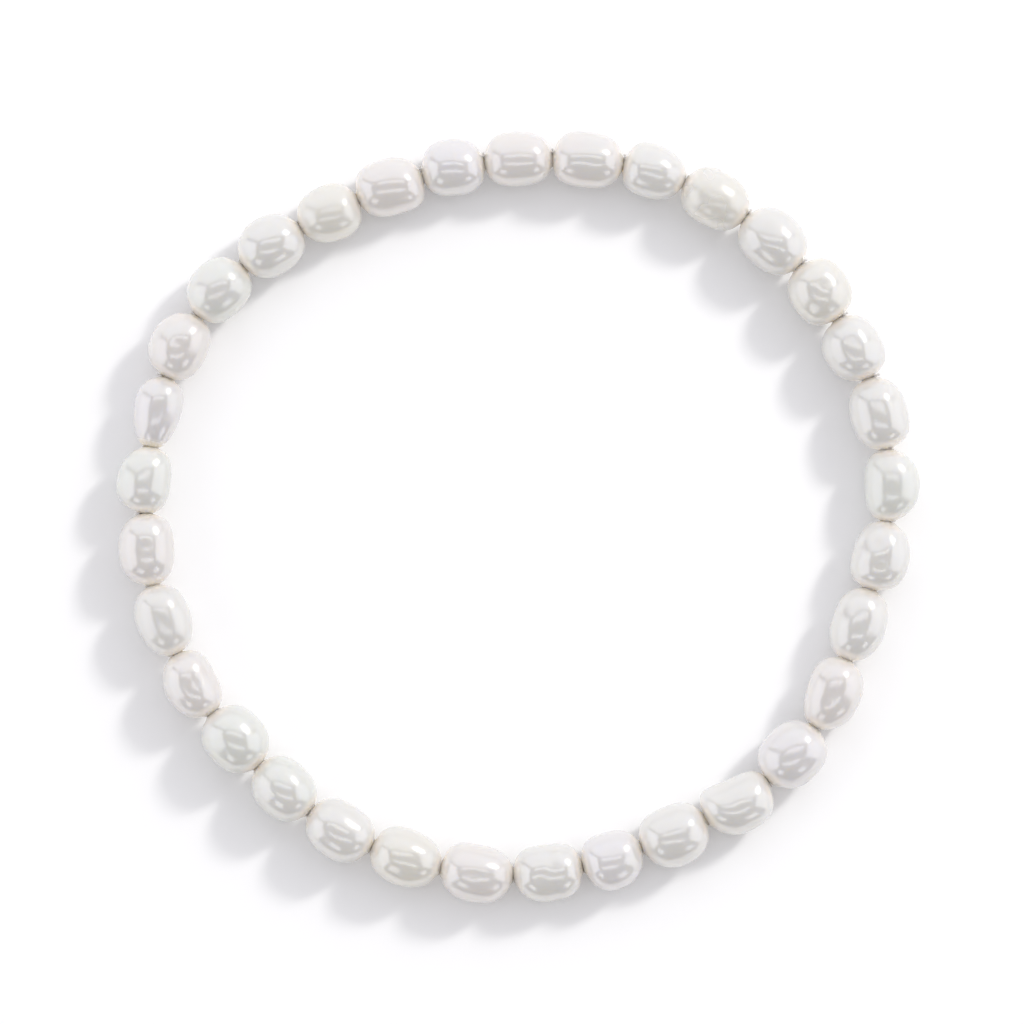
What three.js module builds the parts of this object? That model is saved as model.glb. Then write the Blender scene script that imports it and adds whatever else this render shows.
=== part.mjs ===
// Pearl bracelet: a closed string of thirty-three off-round freshwater pearls on one clear
// elastic cord, lying flat. Millimetres, +Z up, the pearls resting on Z = 0.
//
// Pearls are counted clockwise from the top of the loop, seen from above. Each pearl's own
// frame has X along its drill hole, from its first end to its last, Y away from the middle
// of the loop and Z up, with the origin in the middle of the hole.

import * as THREE from 'three';
import { mergeVertices } from 'three/addons/utils/BufferGeometryUtils.js';

// A middling pearl, which the table of pearls below takes shares of
const PEARL_LENGTH = 5.27;  // along the drill hole, from one mouth of it to the other
const PEARL_WIDTH = 4.25;   // across the string, seen from above
const PEARL_HEIGHT = 4.1;   // as the pearl lies
const PEARL_GAP = 0.05;     // between two neighbours, where the mouths of their holes are closest
const REST_FLAT = 0.04;     // height that the small flat facet underneath takes off

// The thread and what it runs through
const CORD_DIAMETER = 0.7;
const CORD_CLEARANCE = 0.12;  // between the cord and the wall of a drill hole
const END_RIM = 0.3;          // width of the worn rim round a hole's mouth
const END_FALL = 0.08;        // how far that rim falls back from the mouth

// The hole runs through the middle of a middling pearl, and all the holes lie level
const HOLE_HEIGHT = PEARL_HEIGHT / 2;

// Mesh fineness
const PEARL_SIDES = 12;
const CORD_SIDES = 8;
// Rings along a pearl, from -1 at its first end to 1 at its last, with 0 the fattest place
const RINGS = [-1, -0.9, -0.7, -0.44, -0.15, 0.15, 0.44, 0.7, 0.9, 1];

const PEARL_COLOUR = 0xece8e1;
const CORD_COLOUR = 0xd9dbdb;

const DRILL_DIAMETER = CORD_DIAMETER + 2 * CORD_CLEARANCE;
const END_DIAMETER = DRILL_DIAMETER + 2 * END_RIM;

// One row for each pearl. Length, width and height are shares of the sizes above. Fattest
// is the place of the broadest section, a share of the half length from the middle, and
// skew moves it by as much again on the outer side and back on the inner side. First and
// last say how full the two ends are: 2 is an ellipse, less is pointed and more is blunt.
// Lean is how far the belly stands out from the hole, a share of the width.
const COLUMNS = ['length', 'width', 'height', 'fattest', 'skew', 'first', 'last', 'lean'];
const PEARL_ROWS = [
  [0.98, 1.00, 0.99, 0.00, 0.00, 2.6, 2.4, 0.03],
  [1.02, 1.02, 1.01, 0.00, -0.10, 2.8, 2.4, 0.03],
  [0.91, 0.99, 0.99, -0.15, -0.10, 2.6, 2.2, 0.01],
  [1.01, 1.03, 1.01, -0.05, 0.00, 2.3, 2.3, 0.00],
  [1.04, 1.09, 1.05, 0.00, 0.00, 2.3, 2.3, 0.02],
  [0.94, 1.11, 1.07, 0.00, -0.10, 2.4, 2.4, 0.01],
  [0.96, 1.07, 1.05, 0.00, 0.05, 2.3, 2.4, -0.03],
  [1.05, 1.05, 1.01, 0.10, 0.10, 2.4, 2.4, 0.01],
  [1.03, 1.00, 0.97, 0.00, 0.00, 2.3, 2.3, 0.08],
  [1.01, 1.05, 1.01, 0.10, 0.05, 2.3, 2.4, 0.04],
  [1.07, 1.00, 0.99, -0.05, 0.00, 2.3, 2.3, 0.02],
  [1.07, 1.01, 0.99, -0.15, 0.10, 2.3, 2.2, 0.04],
  [1.02, 1.13, 1.07, 0.00, -0.05, 2.4, 2.3, 0.00],
  [1.05, 1.04, 1.03, 0.15, -0.35, 2.6, 2.5, 0.09],
  [1.01, 1.12, 1.07, 0.00, -0.05, 2.4, 2.4, 0.04],
  [0.89, 1.07, 1.03, 0.15, 0.05, 2.3, 2.4, 0.06],
  [1.00, 1.05, 0.99, 0.00, -0.05, 2.7, 2.5, 0.03],
  [1.05, 1.06, 1.03, 0.10, -0.20, 2.4, 2.4, 0.02],
  [1.03, 1.05, 1.03, 0.10, -0.10, 2.2, 2.3, -0.01],
  [1.02, 1.05, 1.03, 0.00, -0.10, 2.4, 2.4, 0.03],
  [0.99, 1.06, 1.05, 0.00, -0.05, 2.3, 2.2, 0.01],
  [1.01, 1.12, 1.07, 0.00, 0.00, 2.3, 2.3, -0.01],
  [0.99, 0.97, 0.99, 0.10, -0.20, 2.5, 2.3, 0.05],
  [1.04, 1.00, 0.99, 0.10, 0.00, 2.3, 2.3, -0.01],
  [1.04, 1.02, 1.01, 0.00, -0.10, 2.3, 2.5, 0.03],
  [0.96, 0.99, 0.97, -0.05, -0.15, 2.4, 2.2, 0.06],
  [1.02, 0.88, 0.91, 0.25, 0.00, 2.1, 2.3, 0.02],
  [0.98, 1.06, 1.05, 0.00, -0.05, 2.4, 2.3, 0.04],
  [0.97, 1.07, 1.05, 0.00, 0.00, 2.3, 2.3, 0.03],
  [0.99, 1.09, 1.05, 0.00, 0.00, 2.3, 2.2, 0.02],
  [0.92, 1.04, 1.03, 0.10, -0.10, 2.3, 2.4, -0.01],
  [0.99, 1.06, 1.03, 0.10, -0.30, 2.6, 2.4, 0.01],
  [0.91, 1.05, 1.01, 0.00, -0.15, 2.4, 2.3, 0.03],
];

// The route of the string: reach from the middle of the loop, a share of a like circle's,
// at hand-picked places round it, in degrees clockwise from the top. The first pearl's
// first end lies on the first of them.
const ROUTE_POINTS = [
  { clock: -5.7, reach: 0.973 },
  { clock: 10, reach: 0.989 },
  { clock: 26, reach: 1.023 },
  { clock: 48, reach: 1.027 },
  { clock: 70, reach: 1.031 },
  { clock: 90, reach: 1.013 },
  { clock: 104, reach: 0.976 },
  { clock: 130, reach: 1.004 },
  { clock: 156, reach: 0.970 },
  { clock: 180, reach: 0.987 },
  { clock: 203, reach: 0.996 },
  { clock: 222, reach: 0.991 },
  { clock: 248, reach: 1.018 },
  { clock: 270, reach: 1.028 },
  { clock: 297, reach: 1.044 },
  { clock: 315, reach: 1.014 },
  { clock: 340, reach: 0.968 },
];

// The search for the loop that the string just closes: bounds on its radius, as shares of a
// like circle's, and a share of the way round that no pearl fills
const TIGHTEST_LOOP = 0.8;
const LOOSEST_LOOP = 1.3;
const LONGEST_STRIDE = 0.25;

const pearls = PEARL_ROWS.map((row) => (
  Object.fromEntries(COLUMNS.map((name, column) => [name, row[column]]))
));

// The loop

function routeCurve() {
  const points = ROUTE_POINTS.map(({ clock, reach }) => {
    const angle = THREE.MathUtils.degToRad(90 - clock);
    return new THREE.Vector3(reach * Math.cos(angle), reach * Math.sin(angle), 0);
  });
  return new THREE.CatmullRomCurve3(points, true);
}

// Halves the way between two bounds until no number is left between them
function halve(low, high, isTooFar) {
  let [near, far] = [low, high];
  let middle = (near + far) / 2;
  while (near < middle && middle < far) {
    if (isTooFar(middle)) far = middle;
    else near = middle;
    middle = (near + far) / 2;
  }
  return middle;
}

// Walks round the route in the given strides and returns where each one starts, as shares
// of the way round
function walk(route, radius, strides) {
  const places = [0];
  for (const stride of strides) {
    const from = places.at(-1);
    const foot = route.getPoint(from);
    const isTooFar = (place) => route.getPoint(place).distanceTo(foot) * radius > stride;
    places.push(halve(from, from + LONGEST_STRIDE, isTooFar));
  }
  return places;
}

// The middles of the gaps, on a loop just big enough for the strides to close it
function closeLoop(strides) {
  const route = routeCurve();
  const roundRadius = strides.reduce((sum, stride) => sum + stride, 0) / (2 * Math.PI);
  const isOpen = (radius) => walk(route, radius, strides).at(-1) < 1;
  const radius = halve(TIGHTEST_LOOP * roundRadius, LOOSEST_LOOP * roundRadius, isOpen);
  return walk(route, radius, strides).slice(0, -1).map((place) => {
    const point = route.getPoint(place).multiplyScalar(radius);
    return point.setZ(HOLE_HEIGHT);
  });
}

// How wide each gap is on the axis: two holes' mouths that lean together need more room
function gapWidths(middles) {
  return middles.map((middle, index) => {
    const ahead = middles[(index + 1) % middles.length].clone().sub(middle);
    const behind = middle.clone().sub(middles.at(index - 1));
    return PEARL_GAP + DRILL_DIAMETER * Math.tan(ahead.angleTo(behind) / 2);
  });
}

// Each pearl and half of the gap on either side of it
function stridesOver(widths) {
  return pearls.map((pearl, index) => {
    const gaps = (widths[index] + widths[(index + 1) % widths.length]) / 2;
    return pearl.length * PEARL_LENGTH + gaps;
  });
}

// The string is laid out tight, to see how it turns, and then with room for those turns
function layOutString() {
  const tight = closeLoop(stridesOver(pearls.map(() => PEARL_GAP)));
  const widths = gapWidths(tight);
  const middles = closeLoop(stridesOver(widths));
  return middles.map((middle, index) => ({ middle, width: widths[index] }));
}

// Pearls

const HALF_SIDE = Math.PI / PEARL_SIDES;
// A facet lies on the true surface, so the corners beside it stand a little outside
const CORNER = 1 / Math.cos(HALF_SIDE);

// How far a ring's side stands out, for a side that stands out widest at the fattest place
function halfSize(ring, widest, fullness) {
  const end = END_DIAMETER / 2 / widest;
  const fall = (1 - end ** fullness) * Math.abs(ring) ** fullness;
  return widest * (1 - fall) ** (1 / fullness);
}

function surfacePoint(pearl, ring, angle) {
  const fullness = ring < 0 ? pearl.first : pearl.last;
  const out = Math.cos(angle);
  const up = Math.sin(angle);
  const fattest = pearl.fattest + pearl.skew * out;
  const along = fattest + ring * (ring < 0 ? 1 + fattest : 1 - fattest);
  const width = pearl.width * PEARL_WIDTH;
  const above = pearl.height * PEARL_HEIGHT - HOLE_HEIGHT;
  const below = HOLE_HEIGHT + REST_FLAT;
  const lean = pearl.lean * width * (1 - along ** 2);
  return new THREE.Vector3(
    along * (pearl.length * PEARL_LENGTH / 2 - END_FALL),
    lean + CORNER * out * halfSize(ring, width / 2, fullness),
    Math.max(-HOLE_HEIGHT, CORNER * up * halfSize(ring, up > 0 ? above : below, fullness)),
  );
}

function holePoint(pearl, end, angle) {
  const radius = CORNER * DRILL_DIAMETER / 2;
  return new THREE.Vector3(
    end * pearl.length * PEARL_LENGTH / 2,
    radius * Math.cos(angle),
    radius * Math.sin(angle),
  );
}

// A plain turned bead with the drill hole through it, its rings shaped one by one afterwards
function turnedBead() {
  const outside = RINGS.map((ring) => new THREE.Vector2(PEARL_WIDTH / 2, ring));
  const firstMouth = new THREE.Vector2(DRILL_DIAMETER / 2, -1);
  const lastMouth = new THREE.Vector2(DRILL_DIAMETER / 2, 1);
  const profile = [firstMouth, ...outside, lastMouth, firstMouth];
  return { bead: new THREE.LatheGeometry(profile, PEARL_SIDES, HALF_SIDE), profile };
}

function pearlGeometry(pearl) {
  const { bead, profile } = turnedBead();
  const position = bead.getAttribute('position');
  for (let index = 0; index < position.count; index += 1) {
    const place = index % profile.length;
    const side = Math.floor(index / profile.length) % PEARL_SIDES;
    const angle = HALF_SIDE + side * 2 * HALF_SIDE;
    const isHole = place === 0 || place > RINGS.length;
    const point = isHole
      ? holePoint(pearl, profile[place].y, angle)
      : surfacePoint(pearl, RINGS[place - 1], angle);
    position.setXYZ(index, point.x, point.y, point.z);
  }
  bead.deleteAttribute('normal');
  bead.deleteAttribute('uv');
  const merged = mergeVertices(bead);
  merged.computeVertexNormals();
  return merged;
}

function makePearls(gaps) {
  const nacre = new THREE.MeshStandardMaterial({
    color: PEARL_COLOUR, roughness: 0.22, metalness: 0, flatShading: true,
  });
  return pearls.map((pearl, index) => {
    const from = gaps[index];
    const to = gaps[(index + 1) % gaps.length];
    const along = to.middle.clone().sub(from.middle).normalize();
    const reach = from.width / 2 + pearl.length * PEARL_LENGTH / 2;
    const mesh = new THREE.Mesh(pearlGeometry(pearl), nacre);
    mesh.name = `pearl_${String(index + 1).padStart(2, '0')}`;
    mesh.position.copy(from.middle).addScaledVector(along, reach);
    mesh.rotation.z = Math.atan2(along.y, along.x);
    return mesh;
  });
}

// Cord

// A closed path whose sections stay at its chosen points instead of being spread evenly
class ThreadPath extends THREE.CatmullRomCurve3 {
  getPointAt(share, target) {
    return this.getPoint(share, target);
  }

  getTangentAt(share, target) {
    return this.getTangent(share, target);
  }
}

function makeCord(gaps) {
  const points = gaps.flatMap(({ middle }, index) => {
    const next = gaps[(index + 1) % gaps.length].middle;
    return [middle, middle.clone().lerp(next, 0.5)];
  });
  const path = new ThreadPath(points, true);
  const tube = new THREE.TubeGeometry(path, points.length, CORD_DIAMETER / 2, CORD_SIDES, true);
  tube.deleteAttribute('normal');
  tube.deleteAttribute('uv');
  const merged = mergeVertices(tube);
  merged.computeVertexNormals();
  const elastic = new THREE.MeshStandardMaterial({
    color: CORD_COLOUR, roughness: 0.15, metalness: 0,
  });
  const mesh = new THREE.Mesh(merged, elastic);
  mesh.name = 'elastic_cord';
  return mesh;
}

// The bracelet, with the middle of its outline over the origin

function makeBracelet() {
  const gaps = layOutString();
  const bracelet = new THREE.Group();
  bracelet.add(...makePearls(gaps), makeCord(gaps));
  const middle = new THREE.Box3().setFromObject(bracelet, true).getCenter(new THREE.Vector3());
  bracelet.position.set(-middle.x, -middle.y, 0);
  return bracelet;
}

export default makeBracelet();
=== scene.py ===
import math
import random

import bmesh
import bpy
from mathutils import Matrix, Vector, noise


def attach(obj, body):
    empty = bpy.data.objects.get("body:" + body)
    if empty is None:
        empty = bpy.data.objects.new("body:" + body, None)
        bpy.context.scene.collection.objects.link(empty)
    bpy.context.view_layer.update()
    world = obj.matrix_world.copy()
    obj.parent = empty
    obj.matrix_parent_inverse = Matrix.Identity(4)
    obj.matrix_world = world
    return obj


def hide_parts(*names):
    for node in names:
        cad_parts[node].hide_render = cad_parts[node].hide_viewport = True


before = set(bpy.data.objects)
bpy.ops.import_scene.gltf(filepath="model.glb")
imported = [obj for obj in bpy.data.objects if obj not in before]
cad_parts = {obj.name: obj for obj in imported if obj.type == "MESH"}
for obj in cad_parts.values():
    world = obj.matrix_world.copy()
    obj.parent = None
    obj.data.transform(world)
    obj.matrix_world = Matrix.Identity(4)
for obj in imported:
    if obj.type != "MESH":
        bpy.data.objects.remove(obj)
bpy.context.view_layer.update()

MM = 0.001
PEARLS = [name for name in sorted(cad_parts) if name.startswith("pearl_")]

# The photograph's view, straight down. The picture is VIEW_WIDTH across at the height of the
# drill holes, and its middle is a little off the middle of the bracelet.
LENS = 180.0
SENSOR = 36.0
NEAR_CLIP = 0.01
VIEW_WIDTH = 79.36 * MM
VIEW_MIDDLE = Vector((-0.47, 0.39, 2.05)) * MM

# The studio. Distances are in metres, and directions are seen from the bracelet, with +Y
# towards the top of the picture.
WALL_DISTANCE = 0.7
BOX_DISTANCE = 0.9
CEILING_HEIGHT = 1.2
KEY_DISTANCE = 1.0
KEY_DIRECTION = Vector((0.62, 0.56, 0.55))
KEY_SIZE = 0.33
KEY_LIGHT = 3.1
KEY_COLOUR = (1.0, 0.985, 0.96)
FLOOR_KEY_SIZE = 0.13     # a second, stronger key in the same place, for the floor alone
FLOOR_KEY_LIGHT = 76.0
PANEL_LIGHT = 0.97
BACK_LIGHT = 0.78         # the back wall is wide, so it is dimmer than the other panels
PANEL_COLOUR = (0.94, 0.96, 1.05)
ROOM_LIGHT = 0.40
ROOM_COLOUR = (1.0, 0.96, 0.93)
FLOOR_REACH = 4.0         # from its middle to each side
FLOOR_WHITE = 0.93
FLOOR_CLEAR = 0.01 * MM   # between the paper and the flats under the pearls

# Upright panels: the side they stand on, how far they reach across it from low to high and
# how high they are, as shares of WALL_DISTANCE, and their light
WALL_COLUMNS = ("name", "side", "low", "high", "height", "light")
WALLS = (
    ("back_wall", (0, 1, 0), -1.6, 1.6, 2.2, BACK_LIGHT),
    ("left_wall", (-1, 0, 0), -0.42, 0.80, 1.2, PANEL_LIGHT),
    ("right_wall", (1, 0, 0), -0.46, 0.53, 1.3, PANEL_LIGHT),
)
# Square softboxes at the front: the direction they are seen in, and their breadth as a share
# of BOX_DISTANCE
BOX_COLUMNS = ("name", "direction", "breadth")
BOXES = (
    ("left_box", (-0.42, -0.76, 0.46), 0.34),
    ("right_box", (0.56, -0.70, 0.40), 0.32),
)
# Strips overhead, along X: how far towards +Y they hang. It and their own length and breadth
# are shares of CEILING_HEIGHT.
STRIP_COLUMNS = ("name", "across")
STRIPS = (
    ("upper_strip", 0.23),
    ("lower_strip", -0.36),
)
STRIP_LENGTH = 0.95
STRIP_BREADTH = 0.20

# Pearl meshes
MERGE_DISTANCE = 0.001 * MM
LONG_EDGE = 3.0 * MM      # only the drill hole's own edges are as long as this
MOUTH_CREASE = 0.75
PULL_IN = 0.0341          # a corner of a solid's twelve-sided section stands out by this share
SMOOTHING = 3
CORD_SMOOTHING = 2
SETTLINGS = 3             # rounds of moving a cage to bring its smoothed surface into place

# The nacre's body colours, the pearls that aren't ivory, and those with a duller lustre
BODY_COLOURS = {
    "ivory": (0.792, 0.780, 0.745),
    "pink": (0.806, 0.776, 0.744),
    "lavender": (0.793, 0.773, 0.762),
    "green": (0.778, 0.782, 0.736),
    "cream": (0.800, 0.782, 0.722),
}
# Painted glow at the drill ends: a lighter, warmer colour in place of light that seeps through the
# nacre and bounces between neighbouring pearls
PAINTED_END_GLOW = (0.99, 0.915, 0.835)
# Inside the drill hole: partly the drilled nacre's own tan and partly painted shade that tints the
# gaps between pearls brown
HOLE_TAN_AND_SHADE = (0.90, 0.78, 0.64)
WORN_IVORY = (0.86, 0.79, 0.62)
TINTED = {
    "pink": (1, 2, 12, 18, 23, 25, 28, 32),
    "lavender": (13, 16, 27, 33),
    "green": (9, 21, 22, 26, 29),
    "cream": (4, 6, 19, 31),
}
LUSTRE = 0.19             # roughness
DULL_LUSTRE = {4: 0.27, 9: 0.22, 24: 0.22, 29: 0.21, 31: 0.24}
UNEVEN_LUSTRE = (0.85, 1.15)   # over a pearl, as shares of its own
CHALKINESS = 3.5          # how many times rougher the worn rim is
MIRROR = 0.27             # how much the nacre's layers mirror, and less at the drilled ends
END_MIRROR = 0.18
NACRE_IOR = 1.55
GLOW_DEPTH = 1.2 * MM     # how far light spreads inside, times GLOW_REACH for each colour
GLOW_REACH = (0.85, 0.92, 1.1)
COAT = 0.15
COAT_ROUGHNESS = 0.14
RELIEF_STRENGTH = 0.03
RELIEF_HEIGHT = 0.01 * MM

# Where the painted glow at the drill ends and the mirror change along a pearl, as shares of its
# half length, and where the hole's tan, partly its own and partly painted shade, sets in round
# the drill hole, in millimetres from its axis
PAINTED_GLOW_FROM = 0.70
PAINTED_GLOW_TO = 1.0
MIRROR_FALL_FROM = 0.70
MIRROR_FALL_TO = 0.97
HOLE_SHADE_FROM = 0.56
HOLE_SHADE_TO = 0.49

# Patterns of the nacre: how fine they are per metre, and the noise between which they set in
CLOUD_SCALE = 260.0
CLOUD_LIMITS = (0.45, 0.75)
FLAKE_SCALE = 5000.0
FLAKE_LIMITS = (0.35, 0.60)
LUSTRE_SCALE = 420.0
LUSTRE_SEED = 0.6
RELIEF_SCALE = 1600.0

# The clear elastic
ELASTIC_COLOUR = (0.97, 0.965, 0.95)
ELASTIC_ROUGHNESS = 0.10
ELASTIC_CLEARNESS = 0.3

# A mix node's sockets for colours, which share their names with its other sockets
COLOUR_INPUTS = (6, 7)
COLOUR_RESULT = 2

# Unevenness of every pearl: swells as breadth and height, in millimetres. It dies out
# towards the drill holes, more suddenly with a higher CALM_POWER.
SWELLS = ((2.4, 0.050), (1.1, 0.022))
SWELL_SHIFT = 7.0         # from one pearl's place in the noise to the next one's
CALM_POWER = 6
# Listed dents. Along runs from -1 at a pearl's first end to 1 at its last, round is in
# degrees from the outer side of the loop up over the top, and breadth and depth are
# millimetres.
DENT_COLUMNS = ("pearl", "along", "round", "breadth", "depth")
DENTS = (
    (5, -0.35, 80, 0.7, 0.07),
    (5, 0.30, 110, 0.6, 0.05),
    (6, -0.10, 75, 0.6, 0.07),
    (6, 0.35, 120, 0.6, 0.05),
    (7, -0.20, 90, 0.6, 0.06),
    (7, 0.30, 60, 0.5, 0.04),
    (10, -0.30, 100, 0.6, 0.07),
    (10, 0.20, 85, 0.4, 0.05),
    (12, 0.25, 95, 0.5, 0.05),
    (17, -0.25, 105, 0.5, 0.06),
    (17, 0.25, 75, 0.5, 0.06),
    (18, 0.10, 85, 0.5, 0.05),
    (23, 0.00, 100, 0.7, 0.06),
    (25, 0.10, 90, 0.5, 0.05),
    (28, 0.05, 85, 0.5, 0.06),
)
# Growth lines and waists right round a pearl, in the same units
VALLEY_COLUMNS = ("pearl", "along", "breadth", "depth")
VALLEYS = (
    (1, 0.05, 0.15, 0.006),
    (4, -0.20, 0.25, 0.015),
    (4, 0.20, 0.25, 0.012),
    (17, -0.15, 0.40, 0.050),
    (20, -0.35, 0.16, 0.004),
    (20, -0.12, 0.14, 0.004),
    (20, 0.15, 0.16, 0.004),
    (33, 0.00, 0.15, 0.010),
)
# The pearl with a flaky rim round the drill hole at its first end
WORN_PEARL = 27
WORN_FROM = 0.80          # shares of the half length
WORN_FULL = 0.92
FLAKE_BREADTH = 0.16      # millimetres
FLAKE_HEIGHT = 0.07

# Folds of the clear elastic. They climb one against the next out of the cord into the gap,
# which opens like a wedge towards the outer side of the loop. Lengths are in millimetres.
FOLDED_GAPS = (1, 2, 3, 5, 6, 7, 8, 26, 28, 33)   # each before the pearl of that number
FOLDS_PER_GAP = 4
FOLD_START = 0.28         # of the first fold's middle, outward from the cord's middle
FOLD_RISE = 0.20          # and above it
FOLD_STEP = 0.13
FOLD_SHAKE = 0.02
FOLD_HALF_BREADTH = 0.10
FOLD_HALF_HEIGHT = 0.15
FOLD_HEIGHT_SHARES = (0.8, 1.1)
FOLD_SEED = 5
FOLD_SEGMENTS = 8
FOLD_RINGS = 6
GAP_AT_AXIS = 0.05
GAP_SPREAD = 0.19         # the sine of the turn from one pearl to the next
RIM_FALL = 0.03           # room that the worn rims of both holes add


def named_rows(columns, rows):
    """A table's rows, by column name."""
    return [dict(zip(columns, row)) for row in rows]


# Camera, lights and floor

def area_light(name, place, aim, size, light, colour):
    """A softbox that gives off the stated light all over its face."""
    data = bpy.data.lights.new(name, "AREA")
    data.shape = "RECTANGLE"
    data.size, data.size_y = size
    data.energy = light * math.pi * size[0] * size[1]
    data.color = colour
    lamp = bpy.data.objects.new(name, data)
    lamp.location = place
    lamp.rotation_euler = (aim - place).to_track_quat("-Z", "Y").to_euler()
    lamp.visible_camera = False
    bpy.context.collection.objects.link(lamp)
    return lamp


def set_camera():
    data = bpy.data.cameras.new("camera")
    data.lens = LENS
    data.sensor_width = SENSOR
    data.clip_start = NEAR_CLIP
    camera = bpy.data.objects.new("camera", data)
    distance = VIEW_WIDTH * LENS / SENSOR
    camera.location = VIEW_MIDDLE + Vector((0, 0, distance))
    bpy.context.collection.objects.link(camera)
    bpy.context.scene.camera = camera


def set_room():
    world = bpy.data.worlds.new("room")
    world.use_nodes = True
    background = world.node_tree.nodes["Background"]
    background.inputs["Color"].default_value = (*ROOM_COLOUR, 1)
    background.inputs["Strength"].default_value = ROOM_LIGHT
    bpy.context.scene.world = world


def wall(name, side, low, high, height, light):
    """An upright panel from the floor up, at WALL_DISTANCE on a side, from low to high across."""
    side = Vector(side)
    along = Vector((-side.y, side.x, 0))
    middle = side * WALL_DISTANCE + along * WALL_DISTANCE * (low + high) / 2
    middle.z = WALL_DISTANCE * height / 2
    size = (WALL_DISTANCE * (high - low), WALL_DISTANCE * height)
    area_light(name, middle, middle - side, size, light, PANEL_COLOUR)


def box(name, direction, breadth):
    place = Vector(direction).normalized() * BOX_DISTANCE
    size = (breadth * BOX_DISTANCE, breadth * BOX_DISTANCE)
    area_light(name, place, Vector((0, 0, 0)), size, PANEL_LIGHT, PANEL_COLOUR)


def strip(name, across):
    place = Vector((0, across * CEILING_HEIGHT, CEILING_HEIGHT))
    size = (STRIP_LENGTH * CEILING_HEIGHT, STRIP_BREADTH * CEILING_HEIGHT)
    area_light(name, place, place - Vector((0, 0, 1)), size, PANEL_LIGHT, PANEL_COLOUR)


def key_light(name, breadth, light):
    place = KEY_DIRECTION.normalized() * KEY_DISTANCE
    return area_light(name, place, Vector((0, 0, 0)), (breadth, breadth), light, KEY_COLOUR)


def set_lights():
    for row in named_rows(WALL_COLUMNS, WALLS):
        wall(**row)
    for row in named_rows(BOX_COLUMNS, BOXES):
        box(**row)
    for row in named_rows(STRIP_COLUMNS, STRIPS):
        strip(**row)
    key_light("key", KEY_SIZE, KEY_LIGHT)


def set_floor_light(floor):
    """A key light for the floor alone. The pearls shade the floor from it."""
    lamp = key_light("floor_key", FLOOR_KEY_SIZE, FLOOR_KEY_LIGHT)
    lit = bpy.data.collections.new("lit_by_floor_key")
    lit.objects.link(floor)
    lamp.light_linking.receiver_collection = lit


def set_floor():
    mesh = bpy.data.meshes.new("floor")
    bm = bmesh.new()
    bmesh.ops.create_grid(bm, x_segments=1, y_segments=1, size=FLOOR_REACH)
    bmesh.ops.translate(bm, vec=Vector((0, 0, -FLOOR_CLEAR)), verts=bm.verts)
    bm.to_mesh(mesh)
    bm.free()
    floor = bpy.data.objects.new("floor", mesh)
    bpy.context.collection.objects.link(floor)
    paper = bpy.data.materials.new("floor_paper")
    paper.use_nodes = True
    surface = paper.node_tree.nodes["Principled BSDF"]
    surface.inputs["Base Color"].default_value = (FLOOR_WHITE, FLOOR_WHITE, FLOOR_WHITE, 1)
    surface.inputs["Roughness"].default_value = 1.0
    surface.inputs["Specular IOR Level"].default_value = 0.0
    mesh.materials.append(paper)
    return floor


# Pearls

def paired_copy(node):
    """A node's loose triangles, merged and paired into the four-sided faces they came from."""
    bm = bmesh.new()
    bm.from_mesh(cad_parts[node].data)
    bmesh.ops.remove_doubles(bm, verts=bm.verts, dist=MERGE_DISTANCE)
    bmesh.ops.join_triangles(bm, faces=bm.faces, angle_face_threshold=math.pi,
                             angle_shape_threshold=math.pi, topology_influence=1.0)
    return bm


def drilled_edges(bm):
    """The long edges inside the drill hole."""
    return [edge for edge in bm.edges if edge.calc_length() > LONG_EDGE]


def drill_frame(bm):
    """The pearl's own frame: X along the drill hole, clockwise round the loop, and Z up."""
    drilled = drilled_edges(bm)
    heading = drilled[0].verts[1].co - drilled[0].verts[0].co
    points = [vert.co for edge in drilled for vert in edge.verts]
    middle = sum(points, Vector()) / len(points)
    if middle.cross(heading).z > 0:
        heading = -heading
    along = Vector((heading.x, heading.y, 0)).normalized()
    up = Vector((0, 0, 1))
    turn = Matrix((along, up.cross(along), up)).transposed().to_4x4()
    return Matrix.Translation(middle) @ turn


def crease_mouths(bm):
    """Keeps the rims of the drill hole from being smoothed away."""
    layer = bm.edges.layers.float.new("crease_edge")
    drilled = {vert for edge in drilled_edges(bm) for vert in edge.verts}
    for edge in bm.edges:
        if edge.calc_length() < LONG_EDGE and all(vert in drilled for vert in edge.verts):
            edge[layer] = MOUTH_CREASE


def make_object(name, bm):
    mesh = bpy.data.meshes.new(name)
    bm.to_mesh(mesh)
    bm.free()
    piece = bpy.data.objects.new(name, mesh)
    bpy.context.collection.objects.link(piece)
    return piece


def smoothed_points(piece, count):
    graph = bpy.context.evaluated_depsgraph_get()
    smooth = piece.evaluated_get(graph).data
    return [smooth.vertices[index].co.copy() for index in range(count)]


def settle(piece, own_frame):
    """Moves the cage until its smoothed surface runs through the middles of the solid's facets."""
    middle = own_frame.translation
    along = own_frame.to_3x3().col[0]
    cage = piece.data.vertices
    wanted = []
    for vert in cage:
        offset = vert.co - middle
        outward = offset - along * offset.dot(along)
        wanted.append(vert.co - outward * PULL_IN)
    for _ in range(SETTLINGS):
        found = smoothed_points(piece, len(cage))
        for vert, aim, got in zip(cage, wanted, found):
            vert.co += aim - got
        piece.data.update()


def apply_smoothing(piece):
    graph = bpy.context.evaluated_depsgraph_get()
    fine = bpy.data.meshes.new_from_object(piece.evaluated_get(graph))
    fine.name = piece.name
    piece.modifiers.clear()
    piece.data = fine


def own_places(piece, own_frame):
    """Where each point is in the pearl's own frame, in millimetres."""
    inward = own_frame.inverted()
    return [(inward @ vert.co) / MM for vert in piece.data.vertices]


def swell_height(place, number):
    offset = Vector((0, 0, SWELL_SHIFT * number))
    return sum(height * noise.noise(place / breadth + offset) for breadth, height in SWELLS)


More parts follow.
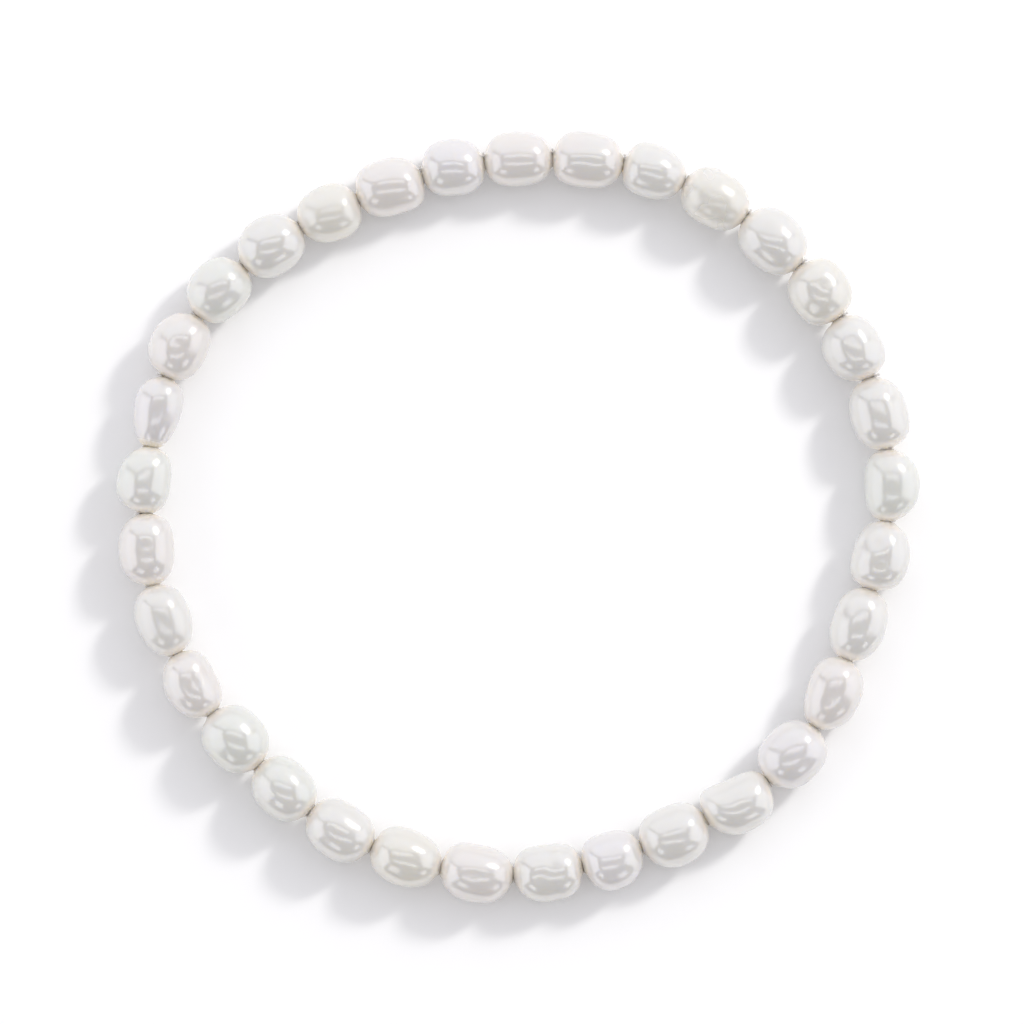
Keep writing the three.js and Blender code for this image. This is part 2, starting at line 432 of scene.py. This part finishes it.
def dent_height(place, half_length, dents):
    total = 0.0
    for dent in dents:
        turn = math.radians(dent["round"])
        radius = Vector((place.y, place.z)).length
        spot = Vector((dent["along"] * half_length, radius * math.cos(turn), radius * math.sin(turn)))
        total -= dent["depth"] * math.exp(-((place - spot).length / dent["breadth"]) ** 2)
    return total


def valley_height(place, half_length, valleys):
    total = 0.0
    for valley in valleys:
        offset = place.x - valley["along"] * half_length
        total -= valley["depth"] * math.exp(-(offset / valley["breadth"]) ** 2)
    return total


def rows_of(columns, rows, number):
    """A pearl's own rows of a table."""
    return [row for row in named_rows(columns, rows) if row["pearl"] == number]


def worn_share(place, half_length, number):
    """From 0 to 1 over the flaky rim."""
    if number != WORN_PEARL:
        return 0.0
    share = (-place.x / half_length - WORN_FROM) / (WORN_FULL - WORN_FROM)
    return min(max(share, 0.0), 1.0)


def shape_surface(piece, places, half_length, number):
    """Gives a pearl its own swells, dents, lines and flakes, and keeps it above the floor."""
    dents = rows_of(DENT_COLUMNS, DENTS, number)
    valleys = rows_of(VALLEY_COLUMNS, VALLEYS, number)
    mesh = piece.data
    normals = [vert.normal.copy() for vert in mesh.vertices]
    for vert, normal, place in zip(mesh.vertices, normals, places):
        share = abs(place.x) / half_length
        calm = max(0.0, 1.0 - share ** CALM_POWER)
        height = swell_height(place, number) + dent_height(place, half_length, dents)
        height += valley_height(place, half_length, valleys)
        flakes = noise.noise(place / FLAKE_BREADTH) * FLAKE_HEIGHT
        height += flakes * worn_share(place, half_length, number)
        vert.co += normal * height * calm * MM
        vert.co.z = max(vert.co.z, 0.0)
    mesh.update()


def keep_values(piece, name, values):
    layer = piece.data.attributes.new(name, "FLOAT", "POINT")
    layer.data.foreach_set("value", values)


def body_colour(number):
    names = [name for name, numbers in TINTED.items() if number in numbers]
    return BODY_COLOURS[names[0] if names else "ivory"]


def note_places(piece, places, half_length, number):
    """Keeps what the nacre asks of each point: its place on the pearl, wear, lustre and colour."""
    keep_values(piece, "end_share", [abs(place.x) / half_length for place in places])
    keep_values(piece, "hole_reach", [Vector((place.y, place.z)).length for place in places])
    keep_values(piece, "worn", [worn_share(place, half_length, number) for place in places])
    keep_values(piece, "lustre", [DULL_LUSTRE.get(number, LUSTRE)] * len(places))
    layer = piece.data.attributes.new("body_colour", "FLOAT_COLOR", "POINT")
    layer.data.foreach_set("color", [*body_colour(number), 1] * len(places))


def make_pearl(node, nacre):
    """Dresses one pearl, and tells where its two ends are."""
    number = int(node[-2:])
    bm = paired_copy(node)
    own_frame = drill_frame(bm)
    crease_mouths(bm)
    piece = make_object(node.replace("pearl", "nacre"), bm)
    smoother = piece.modifiers.new("smooth", "SUBSURF")
    smoother.levels = smoother.render_levels = SMOOTHING
    settle(piece, own_frame)
    apply_smoothing(piece)
    places = own_places(piece, own_frame)
    half_length = max(place.x for place in places)
    shape_surface(piece, places, half_length, number)
    note_places(piece, places, half_length, number)
    for face in piece.data.polygons:
        face.use_smooth = True
    piece.data.materials.clear()
    piece.data.materials.append(nacre)
    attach(piece, "root")
    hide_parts(node)
    first_end = own_frame @ Matrix.Translation((-half_length * MM, 0, 0))
    last_end = own_frame @ Matrix.Translation((half_length * MM, 0, 0))
    return first_end, last_end


# Finishes

def ramp_between(tree, value, low, high):
    """A smooth step from 0 at low to 1 at high."""
    step = tree.nodes.new("ShaderNodeMapRange")
    step.interpolation_type = "SMOOTHSTEP"
    step.inputs["From Min"].default_value = low
    step.inputs["From Max"].default_value = high
    tree.links.new(value, step.inputs["Value"])
    return step.outputs["Result"]


def straight_between(tree, value, limits, results):
    """Turns one range of values into another."""
    line = tree.nodes.new("ShaderNodeMapRange")
    line.inputs["From Min"].default_value = limits[0]
    line.inputs["From Max"].default_value = limits[1]
    line.inputs["To Min"].default_value = results[0]
    line.inputs["To Max"].default_value = results[1]
    tree.links.new(value, line.inputs["Value"])
    return line.outputs["Result"]


def mix_colours(tree, factor, first, second):
    mix = tree.nodes.new("ShaderNodeMix")
    mix.data_type = "RGBA"
    tree.links.new(factor, mix.inputs["Factor"])
    for index, colour in zip(COLOUR_INPUTS, (first, second)):
        if isinstance(colour, tuple):
            mix.inputs[index].default_value = (*colour, 1)
        else:
            tree.links.new(colour, mix.inputs[index])
    return mix.outputs[COLOUR_RESULT]


def noise_value(tree, scale, detail=2.0, seed=0.0):
    place = tree.nodes.new("ShaderNodeTexCoord")
    shift = tree.nodes.new("ShaderNodeMapping")
    shift.inputs["Location"].default_value = (seed, seed, seed)
    pattern = tree.nodes.new("ShaderNodeTexNoise")
    pattern.inputs["Scale"].default_value = scale
    pattern.inputs["Detail"].default_value = detail
    tree.links.new(place.outputs["Object"], shift.inputs["Vector"])
    tree.links.new(shift.outputs["Vector"], pattern.inputs["Vector"])
    return pattern.outputs["Fac"]


def attribute(tree, name, kind="Fac"):
    node = tree.nodes.new("ShaderNodeAttribute")
    node.attribute_name = name
    return node.outputs[kind]


def multiply(tree, first, second):
    product = tree.nodes.new("ShaderNodeMath")
    product.operation = "MULTIPLY"
    tree.links.new(first, product.inputs[0])
    tree.links.new(second, product.inputs[1])
    return product.outputs["Value"]


def nacre_colour(tree):
    """Each pearl's own body colour, clouded with ivory, with a painted glow at the drill ends for
    light that seeps through and bounces between pearls, and inside the hole a tan that is partly its
    own and partly painted shade.
    """
    body = attribute(tree, "body_colour", "Color")
    cloud = ramp_between(tree, noise_value(tree, CLOUD_SCALE), *CLOUD_LIMITS)
    clouded = mix_colours(tree, cloud, body, BODY_COLOURS["ivory"])
    # painted glow towards the drill ends, in place of light seeping through and bouncing between
    # pearls
    painted_glow_share = ramp_between(tree, attribute(tree, "end_share"), PAINTED_GLOW_FROM, PAINTED_GLOW_TO)
    with_painted_glow = mix_colours(tree, painted_glow_share, clouded, PAINTED_END_GLOW)
    flaky = ramp_between(tree, noise_value(tree, FLAKE_SCALE), *FLAKE_LIMITS)
    worn = multiply(tree, attribute(tree, "worn"), flaky)
    rimmed = mix_colours(tree, worn, with_painted_glow, WORN_IVORY)
    # the hole's tan, partly its own colour and partly painted shade in the gaps
    bored_and_shaded = ramp_between(tree, attribute(tree, "hole_reach"), HOLE_SHADE_FROM, HOLE_SHADE_TO)
    return mix_colours(tree, bored_and_shaded, rimmed, HOLE_TAN_AND_SHADE)


def nacre_relief(tree):
    """Unevenness too fine for the mesh."""
    bump = tree.nodes.new("ShaderNodeBump")
    bump.inputs["Strength"].default_value = RELIEF_STRENGTH
    bump.inputs["Distance"].default_value = RELIEF_HEIGHT
    tree.links.new(noise_value(tree, RELIEF_SCALE, detail=1.0), bump.inputs["Height"])
    return bump.outputs["Normal"]


def nacre_roughness(tree):
    """Each pearl's own lustre, a little uneven, and chalkier where the rim is worn."""
    pattern = noise_value(tree, LUSTRE_SCALE, seed=LUSTRE_SEED)
    patchy = straight_between(tree, pattern, (0.0, 1.0), UNEVEN_LUSTRE)
    chalk = straight_between(tree, attribute(tree, "worn"), (0.0, 1.0), (1.0, CHALKINESS))
    own = multiply(tree, attribute(tree, "lustre"), patchy)
    return multiply(tree, own, chalk)


def nacre_mirror(tree):
    """How much the nacre's layers mirror: less towards the drilled ends."""
    fall = (MIRROR_FALL_FROM, MIRROR_FALL_TO)
    return straight_between(tree, attribute(tree, "end_share"), fall, (MIRROR, END_MIRROR))


def make_nacre():
    nacre = bpy.data.materials.new("nacre")
    nacre.use_nodes = True
    tree = nacre.node_tree
    surface = tree.nodes["Principled BSDF"]
    surface.inputs["IOR"].default_value = NACRE_IOR
    surface.inputs["Subsurface Weight"].default_value = 1.0
    surface.inputs["Subsurface Radius"].default_value = GLOW_REACH
    surface.inputs["Subsurface Scale"].default_value = GLOW_DEPTH
    surface.inputs["Coat Weight"].default_value = COAT
    surface.inputs["Coat Roughness"].default_value = COAT_ROUGHNESS
    tree.links.new(nacre_colour(tree), surface.inputs["Base Color"])
    tree.links.new(nacre_roughness(tree), surface.inputs["Roughness"])
    tree.links.new(nacre_mirror(tree), surface.inputs["Metallic"])
    tree.links.new(nacre_relief(tree), surface.inputs["Normal"])
    return nacre


def make_elastic():
    elastic = bpy.data.materials.new("clear_elastic")
    elastic.use_nodes = True
    surface = elastic.node_tree.nodes["Principled BSDF"]
    surface.inputs["Base Color"].default_value = (*ELASTIC_COLOUR, 1)
    surface.inputs["Roughness"].default_value = ELASTIC_ROUGHNESS
    surface.inputs["Transmission Weight"].default_value = ELASTIC_CLEARNESS
    return elastic


# The elastic

def add_folds(bm, ends):
    """Small rounded folds of the elastic in some gaps, up the outer side of the cord."""
    draw = random.Random(FOLD_SEED)
    for number in FOLDED_GAPS:
        last_end = ends[number - 2][1]
        first_end = ends[number - 1][0]
        gap = last_end.lerp(first_end, 0.5)
        for step in range(FOLDS_PER_GAP):
            outward = FOLD_START + FOLD_STEP * step + draw.uniform(-FOLD_SHAKE, FOLD_SHAKE)
            rise = FOLD_RISE + FOLD_STEP * step + draw.uniform(-FOLD_SHAKE, FOLD_SHAKE)
            half_gap = (GAP_AT_AXIS + GAP_SPREAD * outward) / 2 + RIM_FALL
            half_height = FOLD_HALF_HEIGHT * draw.uniform(*FOLD_HEIGHT_SHARES)
            place = Vector((0, outward, rise)) * MM
            half_size = Vector((half_gap, FOLD_HALF_BREADTH, half_height)) * MM
            spot = gap @ Matrix.LocRotScale(place, None, half_size)
            bmesh.ops.create_uvsphere(bm, u_segments=FOLD_SEGMENTS, v_segments=FOLD_RINGS,
                                      radius=1, matrix=spot)


def make_cord(elastic, ends):
    bm = paired_copy("elastic_cord")
    add_folds(bm, ends)
    piece = make_object("elastic_thread", bm)
    smoother = piece.modifiers.new("smooth", "SUBSURF")
    smoother.levels = smoother.render_levels = CORD_SMOOTHING
    for face in piece.data.polygons:
        face.use_smooth = True
    piece.data.materials.clear()
    piece.data.materials.append(elastic)
    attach(piece, "root")
    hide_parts("elastic_cord")


# The scene

bpy.context.scene.view_settings.view_transform = "Standard"
set_camera()
set_room()
set_lights()
set_floor_light(set_floor())
nacre = make_nacre()
ends = [make_pearl(node, nacre) for node in PEARLS]
make_cord(make_elastic(), ends)
